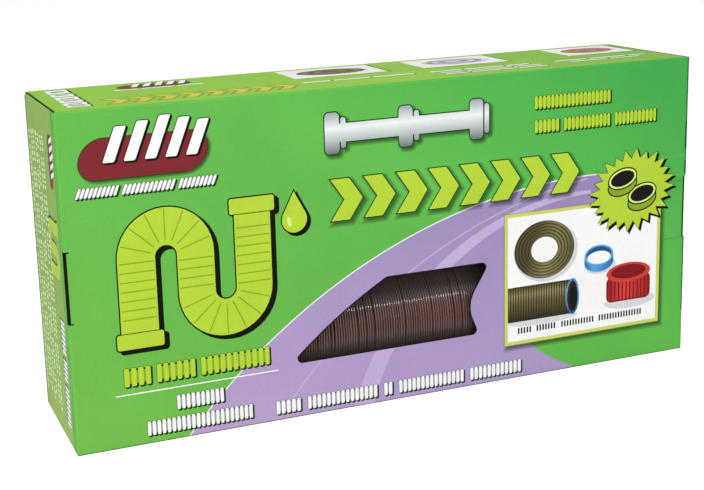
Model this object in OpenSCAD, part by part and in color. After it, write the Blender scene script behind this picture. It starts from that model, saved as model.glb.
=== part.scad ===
// Sewer hose kit: a compressed ribbed drain hose, folded once into a U, with a sizing ring in each
// mouth, packed in a roll-end corrugated display carton. The carton is one folded blank. It stands
// on its long narrow wall, with a die-cut window in the front face and a hinged lid at the rear.
// X runs along the carton, the front face looks towards -Y, Z is up. The origin is the middle of
// the carton's footprint. All sizes are in millimetres.

/* [Carton] */
// Outside length of the carton
carton_w = 450; // [400:5:600]
// Thickness of the corrugated board
board = 1.6; // [1.2:0.1:2.4]
// Outside radius of a folded edge
fold_r = 1.2; // [0.4:0.1:1.2]
// Play between two layers of board
layer_gap = 0.2; // [0.1:0.05:0.4]
// Free height left above the upper run of the hose
headroom = 30.5; // [24:0.5:60]
// Room in front of and behind the hose
side_room = 3.9; // [2:0.1:10]
// Room between the hose and the end walls
end_room = 3; // [1:0.5:10]

/* [Window] */
// Height of the window's lower edge above the base
window_z = 37; // [20:1:60]
// Height of the window
window_h = 50.5; // [30:0.5:70]
// Distance of the window's sharp lower left corner left of the carton's middle
window_left = 80; // [60:1:110]
// Distance of the upper left corner left of the middle
window_top_left = 13; // [0:1:40]
// Distance of the upper right corner right of the middle
window_top_right = 65; // [50:0.5:90]
// Distance of the lower right corner right of the middle
window_right = 56.5; // [40:0.5:90]
// Depth of the notch in the window's right edge, from the lower right corner
window_notch = 9.5; // [4:0.5:14]
// Share of the window's height at which that notch lies
window_notch_at = 0.43; // [0.3:0.01:0.6]
// Radius of the notch
window_notch_r = 22; // [8:1:26]
// How far the slanted left edge bows outwards
window_bow = 2.2; // [1:0.1:6]
// Radius of the window's outer corners
window_r = 3.5; // [1:0.5:5]

/* [Locks and flaps] */
// Length of the lock slot in each end fold
slot_len = 45; // [30:1:70]
// Width of the lock slot across the front face
slot_w = 1.5; // [1:0.1:3]
// Length of the cross cut at each end of a lock slot
slot_serif = 3; // [2:0.5:6]
// Width of that cross cut
serif_w = 0.9; // [0.5:0.1:1.5]
// How far a lock slot reaches round the fold into the end wall
slot_wrap = 2.4; // [1.5:0.1:4]
// Play of a lock tab at each end of its slot
tab_play = 0.5; // [0.3:0.1:1.5]
// Length of a lock tab, from its root in the inner wall
tab_len = 16; // [12:1:30]
// How far the tip of a lock tab stays below the end wall's outer face
tab_recess = 1; // [0.3:0.1:1.2]
// Distance from a lock slot to the free edge of a corner flap
flap_margin = 4; // [2:0.5:15]
// Bevel at the free corners of a corner flap
flap_bevel = 12; // [4:1:25]
// Length of the tuck flap
tuck_len = 20; // [14:1:26]
// Bevel at the free corners of the tuck flap
tuck_bevel = 9; // [4:1:14]
// Play of the tuck flap at each end wall
tuck_side = 1.5; // [0.5:0.5:6]
// Play round the lid
lid_gap = 0.3; // [0.2:0.1:0.6]

/* [Hose] */
// Outside diameter over the ribs
hose_d = 90; // [80:1:110]
// Depth of a rib
rib_depth = 2.5; // [1:0.1:4]
// Distance from one rib to the next
rib_pitch = 5.2; // [5:0.1:12]
// Thickness of the folded wall between a rib's root and the bore
hose_wall = 3; // [2:0.1:5]
// Free space between the two stacked runs
run_gap = 2; // [1:0.1:6]
// Clearance between the hose and the carton's base
hose_seat = 0.3; // [0.2:0.1:0.5]

/* [Sizing rings] */
// Width of a ring along the hose
ring_w = 25; // [15:1:40]
// Wall thickness of a ring
ring_wall = 2.2; // [1.2:0.1:4]
// Bevel at both mouths of a ring
ring_bevel = 0.8; // [0.3:0.1:1]
// Clearance between a ring and the hose's bore
ring_gap = 0.3; // [0.2:0.1:0.5]

/* [Hidden] */

// Colours
PRINT_GREEN = "#5ab950";
PRINT_LIME = "#8cc846";
PRINT_OLIVE = "#9ab446";
BOARD_KRAFT = "#8c6e4a";
VINYL_BROWN = "#3d2420";
RING_BLUE = "#2f6fb8";

// Carton, outside and inside
carton_d = hose_d + 2 * side_room + 2 * board;
carton_h = 2 * hose_d + run_gap + headroom + hose_seat + 2 * board;
front_y = -carton_d / 2;
rear_y = carton_d / 2;
end_x = carton_w / 2;
inside_front_y = front_y + board;
inside_rear_y = rear_y - board;
inside_top_z = carton_h - board;

// Layers of an end, from the outer wall inwards
flap_x = end_x - board - layer_gap;
inner_wall_x = flap_x - board - layer_gap;
inside_end_x = inner_wall_x - board;
wall_half_len = end_x - board - layer_gap;
rim_rear_y = inside_rear_y - lid_gap;
rim_front_y = rim_rear_y - board;
wall_low_z = board + layer_gap;
wall_high_z = inside_top_z - layer_gap;

// Lock slots and tabs
slot_z = carton_h / 2;
tab_half = slot_len / 2 - tab_play;
tab_root_y = inside_front_y + tab_len;
tab_tip_y = inside_front_y + layer_gap;
tab_tip_x = end_x - tab_recess;
// Slope of the bent part, which passes the end wall's cut edge with the play of one layer
tab_slope = (tab_tip_x - wall_half_len) / (slot_wrap - layer_gap);
tab_knee_y = inside_front_y + slot_wrap + (wall_half_len - inner_wall_x) / tab_slope;

// Lid and tuck flap
lid_h = inside_top_z - lid_gap;
tuck_half_len = inside_end_x - tuck_side;
// The flap's free edge hangs this low, so that it clears the top wall while it swings out
tuck_drop = 1.5 * tuck_len * tuck_len / lid_h + 2 * lid_gap;

// Hose: the bore is a true fit for the rings between the flats of its polygon
HOSE_SIDES = 12;
crest_r = hose_d / 2;
root_r = crest_r - rib_depth;
bore_r = root_r * cos(180 / HOSE_SIDES) - hose_wall;
bore_corner_r = bore_r / cos(180 / HOSE_SIDES);
bend_r = crest_r + run_gap / 2;
run_low_z = board + hose_seat + crest_r;
bend_z = run_low_z + bend_r;
bend_x = inside_end_x - end_room - bend_r - crest_r;
mouth_x = -inside_end_x + end_room;
run_len = bend_x - mouth_x;
bend_len = PI * bend_r;
hose_len = 2 * run_len + bend_len;
rib_count = floor(hose_len / rib_pitch);
BEND_STEPS = 14;

// Fineness of round edges, and how far a cutter passes through what it cuts
FINE = 48;
RING_FINE = 96;
PAST = 5;

// ---------------------------------------------------------------- shared shapes

// Draws its child at the right end (side = 1) or mirrored at the left end (side = -1)
module at_end(side) {
    if (side < 0) {
        mirror([1, 0, 0]) children();
    } else {
        children();
    }
}

// Extrudes an outline drawn in (y, z) along X
module along_x(len) {
    rotate([90, 0, 90]) linear_extrude(len) children();
}

// Extrudes an outline drawn in (x, z) along -Y
module towards_front(len) {
    rotate([90, 0, 0]) linear_extrude(len) children();
}

// What a folded edge loses at an outer corner that lies in the 2D origin
module fold_corner() {
    difference() {
        translate([-PAST, -PAST]) square(fold_r + PAST);
        translate([fold_r, fold_r]) circle(r = fold_r, $fn = FINE);
    }
}

// Section of a board whose outer face lies on the 2D X axis, folded at its start, its end or both
module folded_board(len, at_start, at_finish) {
    difference() {
        square([len, board]);
        if (at_start) {
            fold_corner();
        }
        if (at_finish) {
            translate([len, 0]) mirror([1, 0]) fold_corner();
        }
    }
}

// ---------------------------------------------------------------- window

// Points of an arc from p to q whose middle stands a bow to the left of the chord
function arc_points(p, q, bow, steps) =
    let (
        chord = norm(q - p),
        along = (q - p) / chord,
        out = [-along.y, along.x],
        r = (chord * chord / 4 + bow * bow) / (2 * bow),
        half = asin(chord / (2 * r)),
        centre = (p + q) / 2 + out * (bow - r)
    )
    [for (i = [0 : steps])
        let (a = half * (2 * i / steps - 1))
        centre + r * (along * sin(a) + out * cos(a))];

// Points of the arc of radius r that rounds a corner between its two neighbours
function corner_points(before, corner, after, r, steps) =
    let (
        u = (before - corner) / norm(before - corner),
        v = (after - corner) / norm(after - corner),
        half = acos(u * v) / 2,
        centre = corner + (u + v) / norm(u + v) * r / sin(half),
        first = corner + u * r / tan(half) - centre,
        turn = (cross(u, v) > 0 ? -1 : 1) * (180 - 2 * half)
    )
    [for (i = [0 : steps])
        let (a = turn * i / steps)
        centre + [first.x * cos(a) - first.y * sin(a), first.x * sin(a) + first.y * cos(a)]];

// Outline of the window in (x, z): a slanted bowed left edge and a notched right edge
function window_points() =
    let (
        low_left = [-window_left, window_z],
        top_left = [-window_top_left, window_z + window_h],
        top_right = [window_top_right, window_z + window_h],
        notch = [window_right - window_notch, window_z + window_h * window_notch_at],
        low_right = [window_right, window_z],
        nose = corner_points(low_right, low_left, top_left + [-window_left / 2, 0], window_r, 6),
        peak = corner_points(low_left, top_left, top_right, window_r, 2)
    )
    concat(
        nose,
        [for (p = arc_points(nose[6], peak[0], window_bow, 7)) p],
        peak,
        corner_points(top_left, top_right, notch, window_r, 5),
        corner_points(top_right, notch, low_right, window_notch_r, 6),
        corner_points(notch, low_right, low_left, window_r, 5)
    );

// ---------------------------------------------------------------- carton panels

// Cuts a lock slot of the given width and its two cross cuts into the right end fold
module slot_cut(width) {
    translate([end_x - width, front_y - PAST, slot_z - slot_len / 2])
        cube([width + PAST, PAST + board + slot_wrap, slot_len]);
    for (side = [-1, 1]) {
        translate([end_x - slot_serif, front_y - PAST, slot_z + side * slot_len / 2 - serif_w / 2])
            cube([slot_serif + PAST, PAST + board + slot_wrap, serif_w]);
    }
}

// Front face: the base of the blank, folded at all four edges
module front_panel() {
    color(PRINT_GREEN)
    difference() {
        intersection() {
            translate([-end_x, front_y, 0])
                linear_extrude(carton_h) folded_board(carton_w, true, true);
            translate([-end_x, front_y, 0])
                along_x(carton_w) mirror([1, -1]) folded_board(carton_h, true, true);
        }
        translate([0, inside_front_y + PAST, 0])
            towards_front(board + 2 * PAST) polygon(window_points());
        for (side = [-1, 1]) {
            at_end(side) slot_cut(slot_w);
        }
    }
}

// Top wall: folded to the front face and to both upper corner flaps, with a raw rear edge
module top_wall() {
    color(PRINT_LIME)
    translate([-wall_half_len, rear_y, carton_h])
        towards_front(rear_y - inside_front_y)
        mirror([0, 1]) folded_board(2 * wall_half_len, true, true);
}

// Bottom wall, on which the carton stands: folded to the front face, the lid and two corner flaps
module bottom_wall() {
    color(PRINT_GREEN)
    translate([-wall_half_len, inside_rear_y - lid_gap, 0])
        towards_front(inside_rear_y - lid_gap - inside_front_y)
        folded_board(2 * wall_half_len, true, true);
}

// Outer wall of an end, with the half of the lock slot that lies behind the fold, cut right through
module end_wall() {
    difference() {
        intersection() {
            translate([end_x - board, inside_front_y, 0])
                cube([board, rim_rear_y - inside_front_y, carton_h]);
            translate([end_x, inside_front_y, -PAST])
                linear_extrude(carton_h + 2 * PAST)
                rotate(90) folded_board(rim_rear_y - inside_front_y, false, true);
        }
        slot_cut(board + PAST);
    }
}

module end_wall_left() {
    color(PRINT_OLIVE) at_end(-1) end_wall();
}

module end_wall_right() {
    color(PRINT_OLIVE) at_end(1) end_wall();
}

// Rear rim of an end, over which the outer wall rolls inwards
module end_rim() {
    translate([inside_end_x, rim_rear_y, wall_low_z])
        linear_extrude(wall_high_z - wall_low_z)
        mirror([0, 1]) folded_board(end_x - board - inside_end_x, true, false);
}

module end_rim_left() {
    color(PRINT_OLIVE) at_end(-1) end_rim();
}

module end_rim_right() {
    color(PRINT_OLIVE) at_end(1) end_rim();
}

// Inner wall of an end, cut out in front for its lock tab
module inner_wall() {
    low = slot_z - tab_half - tab_play;
    high = slot_z + tab_half + tab_play;
    edge_y = inside_front_y + layer_gap;
    translate([inside_end_x, 0, 0])
        along_x(board) polygon([
            [edge_y, wall_low_z], [rim_front_y, wall_low_z],
            [rim_front_y, wall_high_z], [edge_y, wall_high_z],
            [edge_y, high], [tab_root_y, high],
            [tab_root_y, low], [edge_y, low]
        ]);
}

module inner_wall_left() {
    color(BOARD_KRAFT) at_end(-1) inner_wall();
}

module inner_wall_right() {
    color(BOARD_KRAFT) at_end(1) inner_wall();
}

// Lock tab of an inner wall: passes between the corner flaps and bends into the slot
module lock_tab() {
    bend = atan(tab_slope);
    slant = board / cos(bend);
    translate([0, 0, slot_z - tab_half])
        linear_extrude(2 * tab_half)
        polygon([
            [inside_end_x, tab_root_y], [inner_wall_x, tab_root_y],
            [inner_wall_x, tab_knee_y], [tab_tip_x, tab_tip_y],
            [tab_tip_x - slant, tab_tip_y], [inside_end_x, tab_knee_y - board * tan(bend / 2)]
        ]);
}

module lock_tab_left() {
    color(BOARD_KRAFT) at_end(-1) lock_tab();
}

module lock_tab_right() {
    color(BOARD_KRAFT) at_end(1) lock_tab();
}

// Corner flap that hangs from the top wall between the two layers of an end
module upper_corner_flap() {
    free_z = slot_z + slot_len / 2 + flap_margin;
    front = inside_front_y + layer_gap;
    rear = rim_front_y - layer_gap;
    translate([flap_x - board, 0, 0])
        along_x(board) polygon([
            [front, inside_top_z], [front, free_z + flap_bevel],
            [front + flap_bevel, free_z], [rear - flap_bevel, free_z],
            [rear, free_z + flap_bevel], [rear, inside_top_z]
        ]);
}

// The same flap, standing on the bottom wall
module lower_corner_flap() {
    translate([0, 0, carton_h]) mirror([0, 0, 1]) upper_corner_flap();
}

module corner_flap_upper_left() {
    color(BOARD_KRAFT) at_end(-1) upper_corner_flap();
}

module corner_flap_upper_right() {
    color(BOARD_KRAFT) at_end(1) upper_corner_flap();
}

module corner_flap_lower_left() {
    color(BOARD_KRAFT) at_end(-1) lower_corner_flap();
}

module corner_flap_lower_right() {
    color(BOARD_KRAFT) at_end(1) lower_corner_flap();
}

// Rear face: the lid, folded at its lower edge to the bottom wall and at its upper to the flap
module lid_panel() {
    color(PRINT_GREEN)
    translate([-end_x, rear_y, 0])
        along_x(carton_w) mirror([1, 0]) mirror([1, -1]) folded_board(lid_h, true, true);
}

// Tuck flap: dips behind the top wall and holds the lid shut
module tuck_flap() {
    root_y = inside_rear_y - layer_gap;
    slope = atan(tuck_drop / tuck_len);
    dip = tan(slope);
    depth = board / cos(slope);
    tip_y = root_y - tuck_len;
    color(PRINT_GREEN)
    intersection() {
        translate([-tuck_half_len, 0, 0])
            along_x(2 * tuck_half_len) polygon([
                [root_y, lid_h], [tip_y, lid_h - tuck_len * dip],
                [tip_y, lid_h - tuck_len * dip - depth], [root_y, lid_h - depth]
            ]);
        translate([0, 0, lid_h - tuck_drop - 2 * depth])
            linear_extrude(tuck_drop + 3 * depth)
            polygon([
                [-tuck_half_len, root_y], [-tuck_half_len, tip_y + tuck_bevel],
                [-tuck_half_len + tuck_bevel, tip_y], [tuck_half_len - tuck_bevel, tip_y],
                [tuck_half_len, tip_y + tuck_bevel], [tuck_half_len, root_y]
            ]);
    }
}

// ---------------------------------------------------------------- hose

// Angle, seen from the bend's centre, of the hose's outer side at a distance s along it
function hose_angle(s) =
    s < run_len ? -90
    : s > run_len + bend_len ? 90
    : -90 + 180 * (s - run_len) / bend_len;

// Point of the centreline at a distance s from the lower mouth
function hose_centre(s) =
    let (a = hose_angle(s))
    s < run_len ? [mouth_x + s, 0, run_low_z]
    : s > run_len + bend_len ? [bend_x - (s - run_len - bend_len), 0, bend_z + bend_r]
    : [bend_x + bend_r * cos(a), 0, bend_z + bend_r * sin(a)];

// Ring of points of radius r, square to the centreline at a distance s
function hose_ring(s, r) =
    let (a = hose_angle(s), centre = hose_centre(s))
    [for (k = [0 : HOSE_SIDES - 1])
        let (turn = 360 * k / HOSE_SIDES)
        centre + r * [cos(turn) * cos(a), sin(turn), cos(turn) * sin(a)]];

// Triangles between ring i and ring j, which lies further along the outside of the tube
function ring_band(i, j) =
    [for (k = [0 : HOSE_SIDES - 1])
        let (
            a = i * HOSE_SIDES + k,
            b = i * HOSE_SIDES + (k + 1) % HOSE_SIDES,
            c = j * HOSE_SIDES + (k + 1) % HOSE_SIDES,
            d = j * HOSE_SIDES + k
        )
        each [[a, c, b], [a, d, c]]];

// Distances of the bore's rings: its two mouths, and steps round the bend
function bore_steps() = concat(
    [hose_len],
    [for (i = [BEND_STEPS : -1 : 0]) run_len + bend_len * i / BEND_STEPS],
    [0]
);

// One unbroken tube: out along the ribs, round the upper mouth and back along the bore
module hose() {
    bore = bore_steps();
    rings = concat(
        [for (i = [0 : 2 * rib_count])
            hose_ring(hose_len * i / (2 * rib_count), i % 2 == 1 ? crest_r : root_r)],
        [for (s = bore) hose_ring(s, bore_corner_r)]
    );
    count = len(rings);
    color(VINYL_BROWN)
    polyhedron(
        points = [for (ring = rings) each ring],
        faces = [for (i = [0 : count - 1]) each ring_band(i, (i + 1) % count)]
    );
}

// Least distance between the two stacked runs, measured on the points of their crests
run_distance = min([for (i = [0 : floor(run_len / rib_pitch)])
    let (s = i * rib_pitch)
    norm(hose_ring(s, crest_r)[HOSE_SIDES / 2] - hose_ring(hose_len - s, crest_r)[HOSE_SIDES / 2])]);
echo(ribs = rib_count, centreline_mm = hose_len, least_gap_between_runs_mm = run_distance);

// ---------------------------------------------------------------- sizing rings

// Plain band with bevelled mouths that makes the hose's bore fit an adapter
module sizing_ring(axis_z) {
    outer = bore_r - ring_gap;
    inner = outer - ring_wall;
    color(RING_BLUE)
    translate([mouth_x, 0, axis_z])
        rotate([0, 90, 0])
        rotate_extrude($fn = RING_FINE)
        polygon([
            [inner + ring_bevel, 0], [outer - ring_bevel, 0], [outer, ring_bevel],
            [outer, ring_w - ring_bevel], [outer - ring_bevel, ring_w],
            [inner + ring_bevel, ring_w], [inner, ring_w - ring_bevel], [inner, ring_bevel]
        ]);
}

module sizing_ring_lower() {
    sizing_ring(run_low_z);
}

module sizing_ring_upper() {
    sizing_ring(bend_z + bend_r);
}

front_panel();
top_wall();
bottom_wall();
end_wall_left();
end_wall_right();
end_rim_left();
end_rim_right();
inner_wall_left();
inner_wall_right();
lock_tab_left();
lock_tab_right();
corner_flap_upper_left();
corner_flap_upper_right();
corner_flap_lower_left();
corner_flap_lower_right();
lid_panel();
tuck_flap();
hose();
sizing_ring_lower();
sizing_ring_upper();
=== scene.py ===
from math import asin, atan2, cos, dist, hypot, pi, radians, sin

import bpy
import numpy as np
from mathutils import Matrix, Vector
from mathutils.geometry import delaunay_2d_cdt


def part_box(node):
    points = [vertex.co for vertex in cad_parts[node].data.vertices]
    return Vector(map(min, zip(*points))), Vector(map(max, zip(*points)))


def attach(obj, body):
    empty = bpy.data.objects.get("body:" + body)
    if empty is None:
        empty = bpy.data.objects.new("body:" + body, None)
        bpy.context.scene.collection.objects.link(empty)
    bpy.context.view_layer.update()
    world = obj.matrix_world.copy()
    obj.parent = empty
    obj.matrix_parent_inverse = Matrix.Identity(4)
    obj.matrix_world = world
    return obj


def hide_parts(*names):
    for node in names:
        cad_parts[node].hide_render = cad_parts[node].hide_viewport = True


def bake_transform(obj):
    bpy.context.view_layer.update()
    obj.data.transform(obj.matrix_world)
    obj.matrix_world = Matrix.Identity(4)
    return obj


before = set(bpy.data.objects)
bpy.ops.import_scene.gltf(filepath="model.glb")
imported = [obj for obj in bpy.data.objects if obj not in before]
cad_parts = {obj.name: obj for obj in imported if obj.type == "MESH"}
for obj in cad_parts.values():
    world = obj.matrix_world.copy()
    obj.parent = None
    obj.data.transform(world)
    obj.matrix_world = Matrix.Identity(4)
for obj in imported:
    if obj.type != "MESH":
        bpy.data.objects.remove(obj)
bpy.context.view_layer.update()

# Looks of the sewer hose kit: a printed display carton with a ribbed hose behind its window.
# The artwork is drawn in millimetres on each panel, u to the right and v upwards as a person who
# faces that panel sees it. Everything else is in metres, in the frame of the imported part.

MM = 0.001

# ------ sizes read from the frame

FRONT_LOW, FRONT_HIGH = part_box("front_panel")
TOP_LOW, TOP_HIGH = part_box("top_wall")
BOTTOM_LOW, BOTTOM_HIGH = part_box("bottom_wall")
END_LOW, END_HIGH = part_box("end_wall_right")
LID_LOW, LID_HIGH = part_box("lid_panel")
HOSE_LOW, HOSE_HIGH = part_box("hose")
TUCK_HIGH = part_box("tuck_flap")[1]

CARTON_W = (FRONT_HIGH.x - FRONT_LOW.x) / MM
CARTON_H = (FRONT_HIGH.z - FRONT_LOW.z) / MM
BOARD = (FRONT_HIGH.y - FRONT_LOW.y) / MM
HALF_W = CARTON_W / 2

FOLD_R = 1.2  # outside radius of a folded edge, mm
SLOT_LEN = 45.0  # lock slot in each end fold, mm
SLOT_LOW = (CARTON_H - SLOT_LEN) / 2
SLOT_HIGH = SLOT_LOW + SLOT_LEN
SLOT_W = 1.5  # its width in the front face
SLOT_WRAP = 2.4  # how far it reaches round the fold into the end
SERIF_LEN = 3.0  # cross cut at each of its ends
SERIF_W = 0.9
HOLE_PAST = 6.0  # how far a hole is drawn beyond the edge of its sheet, mm
WINDOW_LIP = 0.8  # how far the window's black border overhangs the cut, mm
WINDOW_BORDER = 0.05  # how far it shows on the panel, mm
PAPER_LOW = 0.02  # the printed sheet's two faces above the board, mm
PAPER_HIGH = 0.09
CORNER_CUT = 0.3  # what the blank loses where two folds cross, mm
FOLD_ARC = FOLD_R * pi / 2
FOLD_STOPS = [FOLD_R - FOLD_ARC * i / 4 for i in range(5)]  # where a folded sheet turns, from its edge
PAST_FOLD = (FOLD_ARC - FOLD_R) + (BOARD - FOLD_R)  # how far it reaches past the edge on the blank
SHADOW_LEVELS = 5  # steps of a printed soft shadow
SHADOW_STEP = 0.085  # share of its brightness that the ink loses with each step


# ------ flat shapes, in millimetres

def turned(x, y, degrees, cx, cy):
    """A point turned about the origin by degrees and then moved by (cx, cy)."""
    turn = radians(degrees)
    return cx + x * cos(turn) - y * sin(turn), cy + x * sin(turn) + y * cos(turn)


def oval(cx, cy, rx, ry, steps=48, tilt=0.0, start=0.0, end=360.0):
    """Points of an ellipse, or of a stretch of it, turned by tilt degrees."""
    count = steps if abs(end - start) >= 360 else steps + 1
    angles = [radians(start + (end - start) * i / steps) for i in range(count)]
    return [turned(rx * cos(a), ry * sin(a), tilt, cx, cy) for a in angles]


def bar(x0, y0, x1, y1, r=0.0, slant=0.0, steps=5):
    """A rectangle with round corners, leaning to the right by slant millimetres per millimetre."""
    r = min(r, (x1 - x0) / 2, (y1 - y0) / 2)
    if r <= 0:
        points = [(x0, y0), (x1, y0), (x1, y1), (x0, y1)]
    else:
        points = []
        for cx, cy, a in (
            (x1 - r, y0 + r, -90), (x1 - r, y1 - r, 0), (x0 + r, y1 - r, 90), (x0 + r, y0 + r, 180),
        ):
            for x, y in oval(cx, cy, r, r, steps, 0, a, a + 90):
                if not points or hypot(x - points[-1][0], y - points[-1][1]) > 0.01:
                    points.append((x, y))
        if dist(points[0], points[-1]) < 0.01:
            points.pop()
    return [(x + slant * (y - y0), y) for x, y in points]


def arch(p, q, rise, steps=40):
    """A circular arc from p to q that bulges to the left of that direction by rise."""
    chord = dist(p, q)
    r = chord * chord / (8 * rise) + rise / 2
    ux, uy = (q[0] - p[0]) / chord, (q[1] - p[1]) / chord
    cx = (p[0] + q[0]) / 2 + uy * (r - rise)
    cy = (p[1] + q[1]) / 2 - ux * (r - rise)
    start = atan2(p[1] - cy, p[0] - cx)
    sweep = -2 * asin(chord / 2 / r)
    angles = [start + sweep * i / steps for i in range(steps + 1)]
    return [(cx + r * cos(a), cy + r * sin(a)) for a in angles]


def ring_pictogram(cx, cy):
    """A short wide ring seen from above at a slant, drawn in black lines on lime."""
    rx, ry, high, tilt = 12.5, 7.6, 5.0, 14

    def body(by):
        lower = oval(cx, cy - high, rx + by, ry + by, 40, tilt)
        sides = ribbon([(cx, cy - high), (cx, cy)], (rx + by) * cos(radians(tilt)) * 0.985)
        return [lower, sides, oval(cx, cy, rx + by, ry + by, 40, tilt)]

    outer, inner = body(0), body(-1.0)
    return painted(outer, "ink_black") + painted(inner[:2], "lime_dark") + [
        (outer[2], "ink_black"), (inner[2], "lime_light"),
        (oval(cx, cy, rx - 2.6, ry - 2.3, 36, tilt), "ink_black"),
    ]


def burst(cx, cy, rx, ry, spikes, depth, tilt):
    """A starburst: long and short spikes in turn round an ellipse."""
    points = []
    for i in range(2 * spikes):
        a = pi * i / spikes
        reach = 1.0 - depth if i % 2 else 1.0 - 0.07 * ((i // 2) % 3 == 1)
        points.append(turned(rx * reach * cos(a), ry * reach * sin(a), tilt, cx, cy))
    return points


def ribbon(path, half, end=None):
    """The outline of a band that follows a path, half its width to either side; end is the half
    width at the path's end where it differs."""
    left, right = [], []
    first, last = half, half if end is None else end
    for i, (x, y) in enumerate(path):
        half = first + (last - first) * i / (len(path) - 1)
        ax, ay = path[max(i - 1, 0)]
        bx, by = path[min(i + 1, len(path) - 1)]
        length = hypot(bx - ax, by - ay)
        nx, ny = -(by - ay) / length, (bx - ax) / length
        left.append((x + nx * half, y + ny * half))
        right.append((x - nx * half, y - ny * half))
    return right + left[::-1]


def moved(points, dx, dy):
    return [(x + dx, y + dy) for x, y in points]


def anticlockwise(points):
    area = sum(a[0] * b[1] - b[0] * a[1] for a, b in zip(points, points[1:] + points[:1]))
    return points if area > 0 else points[::-1]


def grown(points, by):
    """The outline moved outwards by a distance."""
    points = anticlockwise(points)
    out = []
    for i, (x, y) in enumerate(points):
        ax, ay = points[i - 1]
        bx, by_ = points[(i + 1) % len(points)]
        n1 = Vector((y - ay, ax - x)).normalized()
        n2 = Vector((by_ - y, x - bx)).normalized()
        mean = n1 + n2
        if mean.length < 0.5:
            mean = n1
        mean.normalize()
        reach = by / max(0.45, mean.dot(n1))
        out.append((x + mean.x * reach, y + mean.y * reach))
    return out


def placed(layers, x, y, scale=1.0, turn=0.0):
    """A motif's layers, scaled, turned by degrees and moved to a place on the panel."""
    c, s = scale * cos(radians(turn)), scale * sin(radians(turn))
    return [([(x + c * u - s * v, y + s * u + c * v) for u, v in points], ink) for points, ink in layers]


def arranged(*motifs):
    """Motifs at their places; each is its layers, x, y and, where it needs them, scale and turn."""
    return [layer for motif in motifs for layer in placed(*motif)]


def painted(shapes, ink, by=0.0, dx=0.0, dy=0.0):
    """Shapes in one ink, moved outwards by a distance and then shifted."""
    return [(moved(grown(shape, by) if by > 0 else shape, dx, dy), ink) for shape in shapes]


def soft_shadow(shapes, dx, dy, spread=2.0):
    """Layers that darken whatever ink lies under them, in steps towards the shapes' own shadow."""
    layers = []
    for level in range(1, SHADOW_LEVELS + 1):
        by = spread * (1 - (level - 1) / (SHADOW_LEVELS - 1))
        layers += painted(shapes, level, by, dx, dy)
    return layers


def sticker(shape, ink, outline, *drop):
    """A shape with a black outline and a hard drop shadow under it."""
    rim = grown(shape, outline)
    return [(moved(rim, *drop), "black"), (rim, "black"), (shape, ink)]


# ------ motifs

def hose_symbol():
    """A hose that winds up, down and up again, with a cuff at either end and ribs across it."""
    half, pitch, reach, bend_z = 12.0, 38.0, 44.0, 13.0
    r = pitch / 2
    path = [(-pitch, -reach), (-pitch, 0.0)]
    path += oval(-r, bend_z, r, r, 20, 0, 180, 0) + oval(r, -bend_z, r, r, 20, 0, 180, 360)
    path += [(pitch, 0.0), (pitch, reach)]
    body = ribbon(path, half)
    cuffs = [
        bar(-pitch - half - 3, -reach, -pitch + half + 3, -reach + 10, 1.5),
        bar(pitch - half - 3, reach - 10, pitch + half + 3, reach, 1.5),
    ]
    parts = [body] + cuffs
    layers = painted(parts, "black", 0.9, 2.6, -2.2) + painted(parts, "black", 0.9) + [(body, "lime")]
    # Ribs: thin lines across the band, straight on the runs and fanned round the bends
    inner, outer, thin = half - 3.0, half - 1.0, 0.4
    ribs = []
    for x, sign in ((-pitch, -1), (pitch, 1)):
        for z in np.arange(-bend_z + 2, reach - 14, 6.0):
            ribs.append(bar(x - outer, sign * z - thin, x + outer, sign * z + thin))
    for z in np.arange(-bend_z + 4, bend_z - 2, 6.0):
        ribs.append(bar(-outer, z - thin, outer, z + thin))
    for cx, cz, base in ((-r, bend_z, 0), (r, -bend_z, 180)):
        for a in range(18, 180, 24):
            ends = [turned(reached, 0.0, base + a, cx, cz) for reached in (r - inner, r + outer)]
            ribs.append(ribbon(ends, thin))
    layers += painted(ribs, "lime_dark")
    for cuff in cuffs:
        layers += [(grown(cuff, 0.5), "black"), (cuff, "lime")]
    return layers


def drop_symbol():
    """A drop of water with a light on its left."""
    shape = anticlockwise([(0.0, 13.5)] + oval(0, -5.0, 8.6, 8.6, 30, 0, 155, 385))
    return sticker(shape, "lime", 0.8, 2.0, -1.8) + [(oval(-3.6, -6.0, 1.4, 3.4, 20, 12), "lime_light")]


def chevron_row(count, pitch, height, thick, fill="lime", edge="green_black", outline=0.75):
    """A row of bold arrowheads that point to the right; only dark-edged ones throw a shadow."""
    reach = height * 0.34
    shapes = []
    for i in range(count):
        x = i * pitch
        shapes.append([
            (x, 0), (x + thick, 0), (x + thick + reach, height / 2),
            (x + thick, height), (x, height), (x + reach, height / 2),
        ])
    layers = soft_shadow(shapes, 1.8, -1.9, 2.6) if edge == "green_black" else []
    for shape in shapes:
        layers += [(grown(shape, outline), edge), (shape, fill)]
    return layers


def coupling_symbol():
    """A bright pipe with three collars."""
    shapes = [bar(-50, -6, 50, 6, 2)]
    for x in (-54, -2, 50):
        shapes.append(bar(x - 5, -13.5, x + 5, 13.5, 3))
        shapes.append(bar(x + 6, -10, x + 9.5, 10, 1.6))
    layers = soft_shadow(shapes, 1.6, -1.7, 2.2)
    return layers + painted(shapes, "green_black", 0.8) + painted(shapes, "silver")


def emblem():
    """A plain badge with slanted stripes that stand out over its upper edge."""
    badge = bar(-44, -19, 36, 6, 12.5, 0.22, 12)
    layers = soft_shadow([badge], 1.2, -1.2, 1.6)
    layers += [(grown(badge, 0.6), "green_black"), (badge, "maroon")]
    for i in range(5):
        x = -27.0 + 13.0 * i
        stripe = bar(x, -9.0, x + 7.2, 17.0 - 2.2 * abs(i - 2), 1.0, 0.4)
        layers += sticker(stripe, "white", 0.6, 0.9, -0.8)
    return layers


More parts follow.
